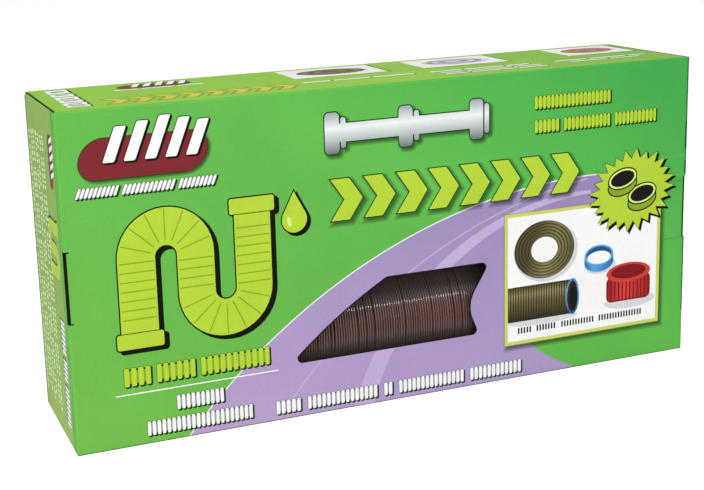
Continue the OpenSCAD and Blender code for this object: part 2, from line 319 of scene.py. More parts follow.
def word_bars(widths, height, gap, ink, under=None):
    """Plain blocks in the rhythm of a line of small print, left end at the origin; under is the ink
    of their hard shadow."""
    shapes, x = [], 0.0
    for width in widths:
        shapes.append(bar(x, 0, x + width, height, height * 0.32, 0.0, 4))
        x += width + gap
    layers = painted(shapes, under, 0.35, 0.9, -0.8) if under else []
    return layers + painted(shapes, ink)


def hose_bars(widths, height, gap, ink, between, slant=0.0, rib=2.2, slit=1.1):
    """Short lengths of ribbed hose in the rhythm of a line of print; between is the ink of the
    body that shows between the ribs."""
    bodies, ribs, x = [], [], 0.0
    low = height * 0.16
    for width in widths:
        bodies.append(moved(bar(x, 0, x + width, height - 2 * low, 0.8, slant, 3), slant * low, low))
        count = max(2, round((width + slit) / (rib + slit)))
        pitch = (width + slit) / count
        for i in range(count):
            ribs.append(bar(x + i * pitch, 0, x + (i + 1) * pitch - slit, height, 0.8, slant, 3))
        x += width + gap
    layers = painted(bodies + ribs, "green_black", 0.4, 0.9, -0.8)
    layers += painted(bodies + ribs, "green_black", 0.3)
    return layers + painted(bodies, between) + painted(ribs, ink)


def wave(foot, tip, rise, back):
    """A lilac wave from its foot up to its tip, with a pale edge and pale lines that follow it.
    back is the outline of its hollow side, from the tip down."""
    crest = arch(foot, tip, rise)
    inside = ribbon(crest, 0.9)[:len(crest)]
    line = arch((foot[0] + 62, foot[1]), tip, rise * 0.8)
    band = arch((foot[0] + 126, foot[1]), (tip[0] - 20, tip[1] - 12), rise * 0.9)
    return [
        (crest + back, "pale_edge"), (inside + back, "lilac"),
        (ribbon(line[:-3], 0.45), "lilac_light"), (ribbon(band, 7.0, 1.2), "lilac_light"),
    ]


def ovals(cx, cy, *rows):
    """Ovals round one place; a row is its oval's offset, radii, steps and ink."""
    return [(oval(cx + dx, cy + dy, rx, ry, steps), ink) for dx, dy, rx, ry, steps, ink in rows]


def inset_picture(x0, y0, x1, y1):
    """A framed picture: a coil of brown hose, a length of it, a blue ring and a red cap."""
    border = 2.4
    left, low = x0 + border, y0 + border
    layers = soft_shadow([bar(x0, y0, x1, y1)], 1.6, -2.0, 2.6)
    layers += [
        (bar(x0 - 0.35, y0 - 0.35, x1 + 0.35, y1 + 0.35), "lime_edge"),
        (bar(x0, y0, x1, y1), "lime_pale"),
        (bar(left, low, x1 - border, y1 - border), "white"),
    ]
    # Length of hose, from the frame's left side to its open mouth
    axis, half, mouth = low + 26.5, 12.6, left + 52.0
    layers += ovals(left + 28, axis, (0, -half - 1.0, 28, 3.4, 40, "grey_pale"))
    layers += [(bar(left, axis - half, mouth, axis + half), "brown_dark")]
    for x in left + 0.5 + 2.05 * np.arange(25):
        layers += [(bar(x, axis - half * 0.97, x + 1.3, axis + half * 0.98, 0.3), "brown_tube")]
    layers += ovals(
        mouth, axis,
        (0, 0, 5.6, half + 0.6, 40, "blue_tube"), (0, 0, 4.4, half - 1.2, 36, "brown_dark"),
        (0.6, -1.0, 3.2, half - 3.6, 32, "ink_black"),
    )
    # Coil above it, seen from its end
    cx, cy, squash = left + 29.0, low + 63.5, 0.86
    layers += ovals(cx, cy, (1.5, -1.6, 25.5, 21.6, 56, "grey_pale"))
    for r in (24.0, 21.4, 18.8, 16.2, 13.6):
        layers += ovals(
            cx, cy,
            (0, 0, r, r * squash, 56, "brown_dark"), (0, 0, r - 0.5, (r - 0.5) * squash, 56, "brown_coil"),
            (0, 0.2, r - 1.8, (r - 1.8) * squash, 56, "brown"),
        )
    layers += ovals(cx, cy, (0, 0, 10.6, 9.1, 40, "white"))
    # Loose ring
    cx, cy = left + 73.5, low + 52.0
    layers += ovals(cx, cy, (1.0, -5.6, 13.0, 6.4, 40, "grey_pale"), (0, -3.0, 12.0, 7.6, 40, "blue_ring"))
    layers += [(bar(cx - 12, cy - 3.0, cx + 12, cy + 1.6), "blue_ring")]
    layers += ovals(
        cx, cy,
        (0, 1.6, 12.0, 7.6, 40, "blue_light"), (0, 1.7, 10.4, 6.3, 36, "blue_dark"),
        (0, 0, 9.7, 4.7, 36, "white"),
    )
    # Red cap
    cx, cy = left + 98.5, low + 30.0
    layers += ovals(cx, cy, (1.4, -13.4, 21.5, 5.4, 40, "grey_pale"))
    layers += [(bar(cx - 18.5, cy - 13.0, cx + 18.5, cy + 6.0, 4.2), "red_dark")]
    for x in cx - 17.0 + 3.15 * np.arange(11):
        layers += [(bar(x, cy - 12.0, x + 2.0, cy + 5.0, 0.7), "red_tube")]
    layers += ovals(cx, cy, (0, 8.0, 18.5, 7.2, 48, "red_light"), (0, 8.5, 14.6, 5.1, 40, "red_dark"))
    # Line of print below
    x, tick = left + 8.0, 2.3
    for width in (12, 17, 28, 36):
        for i in range(round(width / tick)):
            layers += [(bar(x + tick * i, low + 5.0, x + tick * i + 1.3, low + 9.4, 0.4), "ink_black")]
        x += width + 3.0
    return layers


def small_picture(x0, y0, x1, y1, tint, tint_dark):
    """A framed picture with one oval thing in it."""
    cx, cy = (x0 + x1) / 2, (y0 + y1) / 2
    rx, ry = (x1 - x0) * 0.36, (y1 - y0) * 0.3
    layers = [
        (bar(x0 + 1.0, y0 - 1.4, x1 + 1.4, y1 - 1.2), "shade"),
        (bar(x0, y0, x1, y1), "lime_pale"),
        (bar(x0 + 1.2, y0 + 1.2, x1 - 1.2, y1 - 1.2), "white"),
        (oval(cx + 1.5, cy - 2.0, rx, ry, 40), "grey_pale"),
        (oval(cx, cy, rx, ry, 44), tint_dark),
    ]
    for i, ink in enumerate((tint, tint_dark, tint, tint_dark)):
        share = 0.88 - 0.2 * i
        layers += [(oval(cx, cy + 0.4 * i, rx * share, ry * share, 40), ink)]
    return layers


# ------ artwork of each panel

def window_outline():
    """The window's outline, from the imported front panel: the loop of its front face inside the edge."""
    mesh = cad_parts["front_panel"].data
    verts = np.array([v.co for v in mesh.vertices]) / MM
    front = FRONT_LOW.y / MM + 0.01
    edges = set()
    for polygon in mesh.polygons:
        corners = [tuple(np.round(verts[i], 3)) for i in polygon.vertices]
        if polygon.normal.y <= -0.99 and max(c[1] for c in corners) <= front:
            edges.update(zip(corners, corners[1:] + corners[:1]))
    follow = {}
    for a, b in edges:
        inside = abs(a[0]) < HALF_W * 0.6 and FOLD_R + 1 < a[2] < CARTON_H - FOLD_R - 1
        if inside and (b, a) not in edges:
            follow[a] = b
    start = min(follow)
    loop, point = [start], follow[start]
    while point != start:
        loop.append(point)
        point = follow[point]
    return anticlockwise([(p[0], p[2]) for p in loop])


def slot_holes(start, slot_end, serif_end):
    """The lock slot and its two cross cuts, each from start to its own end across the fold."""
    cuts = [bar(start, z - SERIF_W / 2, serif_end, z + SERIF_W / 2) for z in (SLOT_LOW, SLOT_HIGH)]
    return [bar(start, SLOT_LOW, slot_end, SLOT_HIGH)] + cuts


def front_artwork(window):
    lime, white = ("lime", "lime_dark"), ("white", "grey")
    hollow = [(152, 112), (88, 40), (94, 26), (105, 16.6), (118, 8.4), (131, 1.6), (146, -6)]
    layers = wave((-159, -6), (165, 139.5), 42, hollow)
    # A black border 0.05 mm round the window; it also colours the sheet's lip over the cut, so the
    # window's edge is dark all round.
    layers += [(grown(window, WINDOW_BORDER), "ink_black")]
    layers += arranged(
        (emblem(), -171, 192),
        (hose_bars((25, 32, 23), 6.4, 3.4, *white, 0.4, 1.7, 1.0), -216, 162.5),
        (hose_symbol(), -143, 108),
        (drop_symbol(), -76.5, 139),
        (coupling_symbol(), 5, 187),
        (chevron_row(8, 23.4, 27.5, 13.0), -51, 129.5),
        (hose_bars((60,), 9.0, 3.4, *lime), 99.6, 189.5),
        (hose_bars((19, 37, 34), 9.0, 4.0, *lime), 99.6, 173.0),
        (hose_bars((17, 25, 46), 12.0, 4.0, *lime, 0.0, 3.0, 1.4), -193, 40),
    )
    layers += [(bar(-199, 34.4, -91, 35.2), "white")] + arranged(
        (hose_bars((31,), 9.6, 3.0, *white), -160, 19.8),
        (hose_bars((70,), 9.6, 3.0, *white), -180, 5.4),
        (hose_bars((17, 50, 6, 49, 40), 9.0, 5.2, *white), -93.5, 4.4),
    )
    layers += inset_picture(76.5, 24.6, 203.4, 118.5)
    star = burst(179, 125, 36, 29.5, 24, 0.24, 12)
    layers += painted([star], "black", 0.5, 1.5, -1.6) + [(grown(star, 0.45), "star_edge"), (star, "lime")]
    return layers + ring_pictogram(187.5, 121.8) + ring_pictogram(171.0, 134.0) + front_creases()


def front_creases():
    """Lines at the front's folds and creases. Painted shade: dark lines in two creases, a darker strip
    along the right-hand and lower folds, and black strips beside the right-hand slot and above it. A pale
    band lies at the upper right.
    """
    past = HALF_W + 3
    return [
        (bar(213.5, 127.2, HALF_W, 127.6), "crease"),
        (bar(202.0, 144.8, HALF_W - 2, 146.8, 1.0), "crease_pale"),
        (bar(HALF_W - 1.7, 30, past, CARTON_H + 3), "fold_dark"),
        (bar(HALF_W - 2.0, 133, past, 142), "fold_black"),
        (bar(HALF_W - 2.0, 151, past, 170), "fold_black"),
        (bar(HALF_W - 2.9, SLOT_LOW, HALF_W - SLOT_W, SLOT_HIGH), "fold_black"),
        (bar(-HALF_W, -3, past, 0.8), "fold_dark"),
        (bar(206.0, 85.2, HALF_W, 85.6), "crease"),
    ]


def top_artwork():
    # Painted shade: a black strip along the left-hand fold, where the gap between the top and the end lies
    # in shadow.
    layers = [(bar(-HALF_W - 3, -3, -HALF_W + 1.3, 104), "ink_black")]
    # A column of stamped marks: place, length, and where along it the dark gap lies
    for v, length, hollow in (
        (12, 7, 0.4), (21, 10, 0.3), (33, 9, 0.6), (44, 13, 0.3), (60, 12, 0.5), (75, 17, 0.4),
    ):
        middle = v + 0.8 + hollow * length
        layers += [
            (bar(-212, v, -197.5, v + length, 1.5), "black"),
            (bar(-213.5, v + 0.8, -199, v + length, 1.5), "white"),
            (bar(-210.5, middle, -202, middle + 0.22 * length), "black"),
        ]
    layers += arranged(
        (emblem(), -142, 84, 0.62),
        (word_bars((16, 22, 18), 2.6, 2.4, "white"), -172, 67.5),
        (chevron_row(8, 15.8, 21.0, 7.6, "gold", "olive", 1.4), -188, 13),
    )
    for x0, x1, tint, tint_dark in (
        (-53, 17, "brown_light", "brown"), (43, 112, "grey", "grey_pale"), (160, 217, "rose", "rose_dark"),
    ):
        layers += small_picture(x0, 51.5, x1, 95, tint, tint_dark)
    for x, v, height, widths in (
        (-55, 30, 3.2, (20, 26, 30)), (38, 30, 3.2, (24, 30, 18)), (136, 30, 3.2, (26, 30, 14)),
        (42, 22.5, 2.6, (18, 34, 22)), (42, 15.5, 2.6, (18, 34, 22)), (144, 22.5, 2.6, (30, 24)),
    ):
        layers += placed(word_bars(widths, height, 2.4, "white", "shade"), x, v)
    return layers


def end_artwork():
    """Artwork of an end panel, drawn with the front fold at u = 0."""
    layers = [
        (bar(-5, -5, 8.0, CARTON_H + 5), "front_green"),
        (bar(8.0, -5, 9.4, CARTON_H + 5), "fold_line"),
    ]
    layers += arranged(
        (emblem(), 17.5, 183, 0.42, 90),
        (hose_symbol(), 29, 126, 0.38, 90),
        (hose_bars((26, 14, 22), 11.0, 4.0, "white", "grey"), 25, 12, 1.0, 90),
    )
    # Columns of small print: blocks of these lengths, with a wider gap after every sixth
    lengths = (2.3, 1.4, 3.1, 1.8, 2.7, 1.2, 2.2, 3.0, 1.6)
    for column, u in enumerate((42, 49, 58, 65, 74, 81, 90)):
        v, i = 14.0 + 3 * (column % 3), column
        while v < CARTON_H - 22:
            length = lengths[i % len(lengths)]
            layers += [(bar(u, v, u + 3.2, v + length), "text_haze")]
            v += length + (4.2 if i % 6 == 5 else 1.5)
            i += 1
    return layers


def lid_artwork():
    layers = wave((-120, -6), (HALF_W + 6, 118), 30, [(HALF_W + 6, -6)])
    return layers + arranged(
        (emblem(), -170, 188),
        (chevron_row(8, 23.2, 27.5, 11.0), 10, 166),
        (hose_symbol(), 150, 72, 0.8),
        (word_bars((44, 60, 38), 3.6, 3.0, "white"), -200, 140),
        (word_bars((36, 30, 66), 3.6, 3.0, "white"), -200, 131),
        (word_bars((58, 40), 3.6, 3.0, "white"), -200, 122),
    )


# ------ materials

def linear(code, share=1.0):
    """A colour's code as the shader needs it, at a share of its brightness."""
    values = [share * c / 255.0 for c in bytes.fromhex(code)]
    return [v / 12.92 if v <= 0.04045 else ((v + 0.055) / 1.055) ** 2.4 for v in values] + [1.0]


class Shader:
    """One procedural material, built node by node on its Principled BSDF."""

    def __init__(self, name, **sockets):
        self.material = bpy.data.materials.new(name)
        self.material.use_nodes = True
        self.tree = self.material.node_tree
        self.bsdf = self.tree.nodes["Principled BSDF"]
        for socket, value in sockets.items():
            self.bsdf.inputs[socket.replace("_", " ")].default_value = value

    def node(self, kind, links=None, **values):
        made = self.tree.nodes.new("ShaderNode" + kind)
        for key, value in values.items():
            setattr(made, key, value)
        for socket, source in (links or {}).items():
            self.feed(source, made.inputs[socket])
        return made

    def feed(self, source, target):
        if isinstance(source, bpy.types.NodeSocket):
            self.tree.links.new(source, target)
        else:
            target.default_value = source

    def place(self):
        return self.node("TexCoord").outputs["Object"]

    def axes(self, vector=None):
        return self.node("SeparateXYZ", {0: vector or self.place()}).outputs[:]

    def math(self, operation, a, b=0.0, c=0.0):
        return self.node("Math", {0: a, 1: b, 2: c}, operation=operation).outputs[0]

    def ramp(self, value, low, high, out_low=0.0, out_high=1.0):
        return self.node("MapRange", {0: value, 1: low, 2: high, 3: out_low, 4: out_high}).outputs[0]

    def noise(self, scale, detail=2.0, rough=0.5, stretch=(1, 1, 1)):
        vector = self.place()
        if stretch != (1, 1, 1):
            vector = self.node("VectorMath", {0: vector, 1: stretch}, operation="MULTIPLY").outputs[0]
        links = {"Vector": vector, "Scale": scale, "Detail": detail, "Roughness": rough}
        return self.node("TexNoise", links).outputs["Fac"]

    def mix(self, share, a, b, blend="MIX"):
        links = {0: share, 6: a, 7: b}
        return self.node("Mix", links, data_type="RGBA", blend_type=blend).outputs[2]

    def shaded(self, colour, value):
        """A colour multiplied by a grey value."""
        grey = self.node("CombineColor", {0: value, 1: value, 2: value}).outputs[0]
        return self.mix(1.0, colour, grey, "MULTIPLY")

    def kraft(self):
        """Colour and roughness of bare brown liner."""
        fibre = self.ramp(self.noise(420.0, 4.0, 0.65, (1, 1, 0.25)), 0.3, 0.7, 0.93, 1.04)
        return self.shaded(linear(KRAFT), fibre), self.ramp(fibre, 0.9, 1.05, 0.82, 0.68)

    def bump(self, height, distance, strength=1.0, under=None):
        links = {"Height": height, "Distance": distance, "Strength": strength}
        if under is not None:
            links["Normal"] = under
        return self.node("Bump", links).outputs["Normal"]

    def finish(self, colour=None, roughness=None, normal=None):
        for socket, source in (("Base Color", colour), ("Roughness", roughness), ("Normal", normal)):
            if source is not None:
                self.feed(source, self.bsdf.inputs[socket])
        return self.material


FLUTE_SCALE = 98.0  # wave texture scale whose bands are one flute apart
FLUTE_PITCH = 0.0032  # that distance, m
KRAFT = "a6845c"  # colour of the inner liner
SLOPES = {"diagonal": -0.35, "rising": 1.5, "steep": 3.0}  # share of z in a slanting gradient


def printed_paper(name, along, stops, shade):
    """Ink on clay-coated paper that is glued to fluted board: mottle, grain and a faint washboard.
    stops are the places along an axis, mm, and the colours there; one stop is a plain colour."""
    s = Shader(name, Specular_IOR_Level=0.07)
    colours = [linear(code, 1 - SHADOW_STEP * shade) for _, code in stops]
    base = colours[0]
    if len(stops) > 1:
        places = s.axes()
        if along in SLOPES:
            value = s.math("MULTIPLY_ADD", places[2], SLOPES[along], places[0])
        else:
            value = places["xyz".index(along)]
        low, high = stops[0][0], stops[-1][0]
        ramp = s.node("ValToRGB", {"Fac": s.ramp(value, low * MM, high * MM)})
        elements = ramp.color_ramp.elements
        for place, _ in stops[1:-1]:
            elements.new((place - low) / (high - low))
        for element, colour in zip(elements, colours):
            element.color = colour
        base = ramp.outputs[0]
    mottle = s.ramp(s.noise(700.0, 3.0, 0.6), 0.3, 0.7, 0.97, 1.03)
    cloud = s.ramp(s.noise(22.0, 2.0), 0.3, 0.7, 0.975, 1.025)
    tinted = s.shaded(base, s.math("MULTIPLY", mottle, cloud))
    rough = s.ramp(s.noise(160.0, 2.0), 0.3, 0.7, 0.37, 0.48)
    flutes = s.node("TexWave", {
        "Vector": s.place(), "Scale": FLUTE_SCALE, "Distortion": 0.35, "Detail": 1.0,
    }, wave_type="BANDS", bands_direction="X").outputs["Fac"]
    grain = s.bump(s.noise(2600.0, 2.0), 0.00002, 0.35)
    return s.finish(tinted, rough, s.bump(flutes, 0.00003, 0.35, grain))


def board_edge(node, axis, cut, printed=None):
    """Bare corrugated board: smooth liners on both sides, flutes between them on the cut edges.
    axis is the board's thickness, cut the colour of its cut edges and printed the ink on its upper
    or rear face, if it has any."""
    s = Shader("board_" + node, Specular_IOR_Level=0.2)
    across = "xyz".index(axis)
    places = s.axes()
    normal = s.axes(s.node("TexCoord").outputs["Normal"])[across]
    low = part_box(node)[0][across] / MM
    depth = s.math("SUBTRACT", s.math("DIVIDE", places[across], MM), low)
    along = s.math("ADD", *(places[i] for i in range(3) if i != across))
    wave = s.math("SINE", s.math("MULTIPLY", along, 2 * pi / FLUTE_PITCH))
    middle = s.math("MULTIPLY_ADD", wave, 0.42, BOARD / 2)
    off = s.math("ABSOLUTE", s.math("SUBTRACT", depth, middle))
    flute = s.math("LESS_THAN", off, 0.16)
    from_face = s.math("MINIMUM", depth, s.math("SUBTRACT", BOARD, depth))
    paper = s.math("MAXIMUM", flute, s.math("LESS_THAN", from_face, 0.26))
    square_on = s.math("GREATER_THAN", s.math("ABSOLUTE", normal), 0.7)
    liner_colour, rough = s.kraft()
    # Painted shade: between the flutes the cut edge is painted at 0.35 of its colour, as the shade in
    # their hollows.
    cut_colour = s.mix(paper, linear(cut, 0.35), linear(cut))
    colour = s.mix(square_on, cut_colour, liner_colour)
    if printed:
        colour = s.mix(s.math("GREATER_THAN", normal, 0.7), colour, linear(printed))
    return s.finish(colour, rough, s.bump(s.noise(1500.0, 3.0), 0.00004, 0.5))


def kraft_liner(name):
    """Bare brown liner, as on the inside of the board."""
    s = Shader(name, Specular_IOR_Level=0.2)
    return s.finish(*s.kraft())


# Painted shade on the hose behind the front face:
SHADE_LOW = (0.041, 0.049)  # heights over which the hose comes out of the lower shade, m
SHADE_HIGH = (0.0625, 0.0665)  # and goes into the upper one
SHADE_BACK = (-0.026, -0.016)  # depths over which both end behind the front face, m


def vinyl(name):
    """Brown ribbed vinyl with a waxy skin over the wire. Painted shade: low down and high up behind
    the front face, where the carton's corners are dark, the colour is painted a darker grey-brown."""
    s = Shader(name, Specular_IOR_Level=0.2, Coat_Weight=0.8, Coat_Roughness=0.03, Coat_IOR=1.8)
    coils = s.noise(1.0, 2.0, 0.6, (520.0, 9.0, 9.0))
    bands = s.noise(1.0, 1.0, 0.5, (30.0, 14.0, 14.0))
    tone = s.ramp(s.math("MULTIPLY_ADD", bands, 0.5, s.math("MULTIPLY", coils, 0.6)), 0.38, 0.72)
    colour = s.mix(tone, linear("462a25"), linear("683a32"))
    _, y, z = s.axes()
    # Painted shade: at the front of the hose, outside the band between the two heights, the colour goes to
    # dark grey-brown.
    between = s.math("MULTIPLY", s.ramp(z, *SHADE_LOW), s.ramp(z, *SHADE_HIGH, 1.0, 0.0))
    painted_lit = s.math("MAXIMUM", s.ramp(y, *SHADE_BACK), between)
    colour = s.mix(painted_lit, linear("5a4b48"), colour)
    rough = s.ramp(s.noise(300.0, 3.0), 0.3, 0.7, 0.36, 0.5)
    return s.finish(colour, rough, s.bump(s.noise(900.0, 3.0), 0.00003, 0.3))


def ring_plastic(name):
    """Blue moulded plastic with fine turning marks."""
    s = Shader(name, Specular_IOR_Level=0.5, Coat_Weight=0.1, Coat_Roughness=0.2)
    cloud = s.ramp(s.noise(60.0, 3.0), 0.3, 0.7, 0.0, 1.0)
    colour = s.mix(cloud, linear("2662aa"), linear("347ac4"))
    marks = s.noise(1.0, 1.0, 0.5, (1800.0, 20.0, 20.0))
    return s.finish(colour, s.ramp(marks, 0.3, 0.7, 0.24, 0.36), s.bump(marks, 0.00002, 0.5))


# Among these, the crease ink and the two inks of the front's dark folds are painted shade.
INK_COLOURS = {
    "lime": "b7d63e", "lime_dark": "8aac2c", "lime_light": "deee82", "lime_pale": "d0d670",
    "lime_edge": "96a03c", "white": "fafaf8", "black": "0e120c", "ink_black": "181818",
    "green_black": "1e3e1c", "shade": "3e7838", "lilac_light": "c4b0d8", "pale_edge": "ece8ee",
    "maroon": "802a30", "brown": "605838", "brown_dark": "302a1c", "brown_light": "887e54",
    "blue_light": "60a8de", "blue_dark": "1c5492", "red_light": "ce423c", "red_dark": "841a20",
    "rose": "ba8a72", "rose_dark": "a06c58", "grey": "969ca0", "grey_pale": "d8dade", "crease": "3a883e",
    "star_edge": "3a3416", "fold_dark": "2c682a", "fold_black": "0c2e0e", "crease_pale": "64ae58",
    "gold": "d6ce42", "olive": "788e2c", "front_green": "5bba38", "fold_line": "548c34",
    "text_haze": "eaf6d0",
}
# Printed gradients, the front's ground also with painted shade: the axis, then a colour at each place
# along it, mm
GRADIENTS = {
    # Printed green gradient with painted shade as well: it darkens towards the upper right, where the
    # front bulges.
    "front_ground": (
        "rising", (-173, "73bc4e"), (0, "6ab94e"), (180, "64b84e"),
        (227, "66bd50"), (340, "59b850"), (497, "48ac50"),
    ),
    "top_ground": ("x", (-225, "92cd38"), (0, "98ce42"), (225, "8ac246")),
    "end_ground": ("z", (0, "9dbe5e"), (110, "8bb24c"), (216, "93b758")),
    "lilac": (
        "steep", (-100, "bca1ce"), (30, "b49bca"),
        (160, "ad98c6"), (415, "a290c0"), (545, "9b8ab9"),
    ),
    "silver": ("z", (172, "54605e"), (181, "b0baba"), (190, "ecf2f2"), (201, "96a2a4")),
    "brown_tube": ("z", (43, "3a3422"), (54, "706642"), (60, "968c62"), (65, "544c30")),
    "brown_coil": ("diagonal", (64, "463e28"), (82, "92885c"), (106, "4a422a")),
    "blue_tube": ("z", (42, "1e5ca0"), (58, "6eb4e2"), (66, "3484c4")),
    "blue_ring": ("x", (140, "1e60a8"), (148, "5caae2"), (164, "2468b0")),
    "red_tube": ("x", (159, "961e24"), (174, "de4640"), (196, "962024")),
}
_inks = {}


def ink(name, shade=0):
    """The material of a named ink, darkened by the steps of a printed shadow."""
    if (name, shade) not in _inks:
        label = f"print_{name}" + (f"_shade_{shade}" if shade else "")
        along, *stops = GRADIENTS.get(name) or ("x", (0, INK_COLOURS[name]))
        _inks[(name, shade)] = printed_paper(label, along, stops, shade)
    return _inks[(name, shade)]


# ------ printed sheets

def folded(t, size, at_start, at_finish):
    """Distance along the panel, depth and tilt of blank coordinate t: tilt is the sine and cosine
    of how far the sheet has turned, the sine towards the panel's end."""
    for from_edge, folds, sign in ((t, at_start, -1), (size - t, at_finish, 1)):
        if folds and from_edge < FOLD_R:
            turn = min((FOLD_R - from_edge) / FOLD_R, pi / 2)
            rest = max(0.0, FOLD_R - from_edge - FOLD_ARC)
            along = FOLD_R * (1 - sin(turn))
            depth = FOLD_R * (1 - cos(turn)) + rest
            return (along if sign < 0 else size - along), depth, sign * sin(turn), cos(turn)
    return t, 0.0, 0.0, 1.0


def printed_sheet(name, body, size, folds, layers, holes, ground, place, start=0.0):
    """A closed sheet of printed paper on one panel. size is (width, height); folds names the sides
    left, right, low and high that turn over; place(u, v, depth) gives a point in metres, with u and v
    counted from the panel's lower left corner; start is that corner's u in the artwork."""
    width, height = size
    past = {side: PAST_FOLD * (side in folds) for side in ("left", "right", "low", "high")}
    u0, u1, v0, v1 = -past["left"], width + past["right"], -past["low"], height + past["high"]
    inset = PAST_FOLD + CORNER_CUT
    outline = []
    for u, v, du, dv, sides in (
        (u0, v0, 1, 1, {"left", "low"}), (u1, v0, -1, 1, {"right", "low"}),
        (u1, v1, -1, -1, {"right", "high"}), (u0, v1, 1, -1, {"left", "high"}),
    ):
        if sides <= set(folds):
            corner = [(u, v + dv * inset), (u + du * inset, v + dv * inset), (u + du * inset, v)]
            outline += corner[::du * dv]
        else:
            outline.append((u, v))

    points, edges, faces, inks = [], [], [], []

    def add(shape, colour):
        faces.append(list(range(len(points), len(points) + len(shape))))
        points.extend(Vector(p) for p in anticlockwise(list(shape)))
        inks.append(colour)

    add(outline, ground)
    for shape, colour in layers + [(hole, None) for hole in holes]:
        add(moved(shape, -start, 0.0), colour)
    for stop in FOLD_STOPS:
        for side, a, b in (
            ("left", (stop, v0), (stop, v1)), ("right", (width - stop, v0), (width - stop, v1)),
            ("low", (u0, stop), (u1, stop)), ("high", (u0, height - stop), (u1, height - stop)),
        ):
            if side in folds:
                edges.append((len(points), len(points) + 1))
                points += [Vector(a), Vector(b)]
    verts, _, tris, _, _, origins = delaunay_2d_cdt(points, edges, faces, 1, 1e-5, True)

    kept, colours = [], []
    for tri, origin in zip(tris, origins):
        if 0 in origin and all(inks[i] is not None for i in origin):
            top = max(i for i in origin if isinstance(inks[i], str))
            shade = max([inks[i] for i in origin if i > top], default=0)
            kept.append(tri)
            colours.append((inks[top], shade))
    solid_sheet(name, body, verts, kept, colours, lambda p, lift: lay(p, lift, size, folds, place))


def lay(p, lift, size, folds, place):
    """Puts a point of the flat blank on its folded panel, lift millimetres above the board."""
    u, du, su, cu = folded(p[0], size[0], "left" in folds, "right" in folds)
    v, dv, sv, cv = folded(p[1], size[1], "low" in folds, "high" in folds)
    out = Vector((su, sv, min(cu, cv)))
    out.normalize()
    return place(u + lift * out.x, v + lift * out.y, max(du, dv) - lift * out.z)


def in_scene(name, data):
    """A new object in the scene."""
    made = bpy.data.objects.new(name, data)
    bpy.context.scene.collection.objects.link(made)
    return made


def new_object(name, points, faces, material=None):
    """A mesh object in the scene."""
    mesh = bpy.data.meshes.new(name)
    mesh.from_pydata(points, [], faces)
    if material:
        mesh.materials.append(material)
    mesh.update()
    return in_scene(name, mesh)


def solid_sheet(name, body, verts, tris, colours, put):
    """Turns flat coloured triangles into a thin closed mesh with a material for each ink."""
    used = sorted({i for tri in tris for i in tri})
    index = {old: new for new, old in enumerate(used)}
    count = len(used)
    upper = [put(verts[i], PAPER_HIGH) for i in used]
    lower = [put(verts[i], PAPER_LOW) for i in used]
    faces, names, sides = [], [], {}
    for tri, colour in zip(tris, colours):
        a, b, c = (index[i] for i in tri)
        faces += [(a, b, c), (c + count, b + count, a + count)]
        names += [colour, ("white", 0)]
        for p, q in ((a, b), (b, c), (c, a)):
            if (q, p) in sides:
                del sides[(q, p)]
            else:
                sides[(p, q)] = colour
    for (p, q), colour in sides.items():
        faces.append((q, p, p + count, q + count))
        names.append(colour)
    piece = new_object(name, upper + lower, faces)
    inks = sorted(set(names))
    for colour in inks:
        piece.data.materials.append(ink(*colour))
    piece.data.polygons.foreach_set("material_index", [inks.index(n) for n in names])
    piece.data.validate()
    piece.data.update()
    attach(piece, body)


def print_carton():
    """Lays a printed sheet on every outer panel of the carton."""
    window = window_outline()
    slots = slot_holes(-HALF_W - HOLE_PAST, -HALF_W + SLOT_W, -HALF_W + SERIF_LEN)
    slots.append(bar(HALF_W - SLOT_W, SLOT_LOW, HALF_W + HOLE_PAST, SLOT_HIGH))
    printed_sheet(
        "print_front", "carton", (CARTON_W, CARTON_H), ("left", "right", "low", "high"),
        front_artwork(window), [grown(window, -WINDOW_LIP)] + slots, "front_ground",
        lambda u, v, d: ((u - HALF_W) * MM, FRONT_LOW.y + d * MM, v * MM), -HALF_W,
    )
    width = (TOP_HIGH.x - TOP_LOW.x) / MM
    depth = (TOP_HIGH.y - TOP_LOW.y) / MM
    printed_sheet(
        "print_top", "carton", (width, depth), ("left", "right"),
        top_artwork(), [], "top_ground",
        lambda u, v, d: ((u - width / 2) * MM, TOP_LOW.y + v * MM, TOP_HIGH.z - d * MM), -width / 2,
    )
    depth = (BOTTOM_HIGH.y - BOTTOM_LOW.y) / MM
    printed_sheet(
        "print_bottom", "carton", (width, depth), ("left", "right"), [], [], "top_ground",
        lambda u, v, d: ((u - width / 2) * MM, BOTTOM_HIGH.y - v * MM, d * MM),
    )
    depth = (END_HIGH.y - END_LOW.y) / MM
    cuts = slot_holes(-HOLE_PAST, SLOT_WRAP, SLOT_WRAP)
    printed_sheet(
        "print_end_right", "carton", (depth, CARTON_H), ("right",),
        end_artwork(), cuts, "end_ground",
        lambda u, v, d: (END_HIGH.x - d * MM, END_LOW.y + u * MM, v * MM),
    )

    def mirrored(shape):
        return [(depth - u, v) for u, v in shape]

    printed_sheet(
        "print_end_left", "carton", (depth, CARTON_H), ("left",),
        [(mirrored(shape), colour) for shape, colour in end_artwork()],
        [mirrored(shape) for shape in cuts], "end_ground",
        lambda u, v, d: (-END_HIGH.x + d * MM, END_HIGH.y - u * MM, v * MM),
    )
    height = (LID_HIGH.z - LID_LOW.z) / MM
    printed_sheet(
        "print_lid", "lid", (CARTON_W, height), ("low", "high"),
        lid_artwork(), [], "front_ground",
        lambda u, v, d: ((HALF_W - u) * MM, LID_HIGH.y - d * MM, v * MM), -HALF_W,
    )


# ------ creases that open

LINER_THICK = 0.08  # inner liner that bridges an opened crease, mm
LINER_HOLD = 0.3  # how far it overlaps the board beyond the crease, mm
LINER_PLAY = 0.02  # between it and the board's end that it stands against, mm
LINER_STEPS = 10  # lengths that it is built in
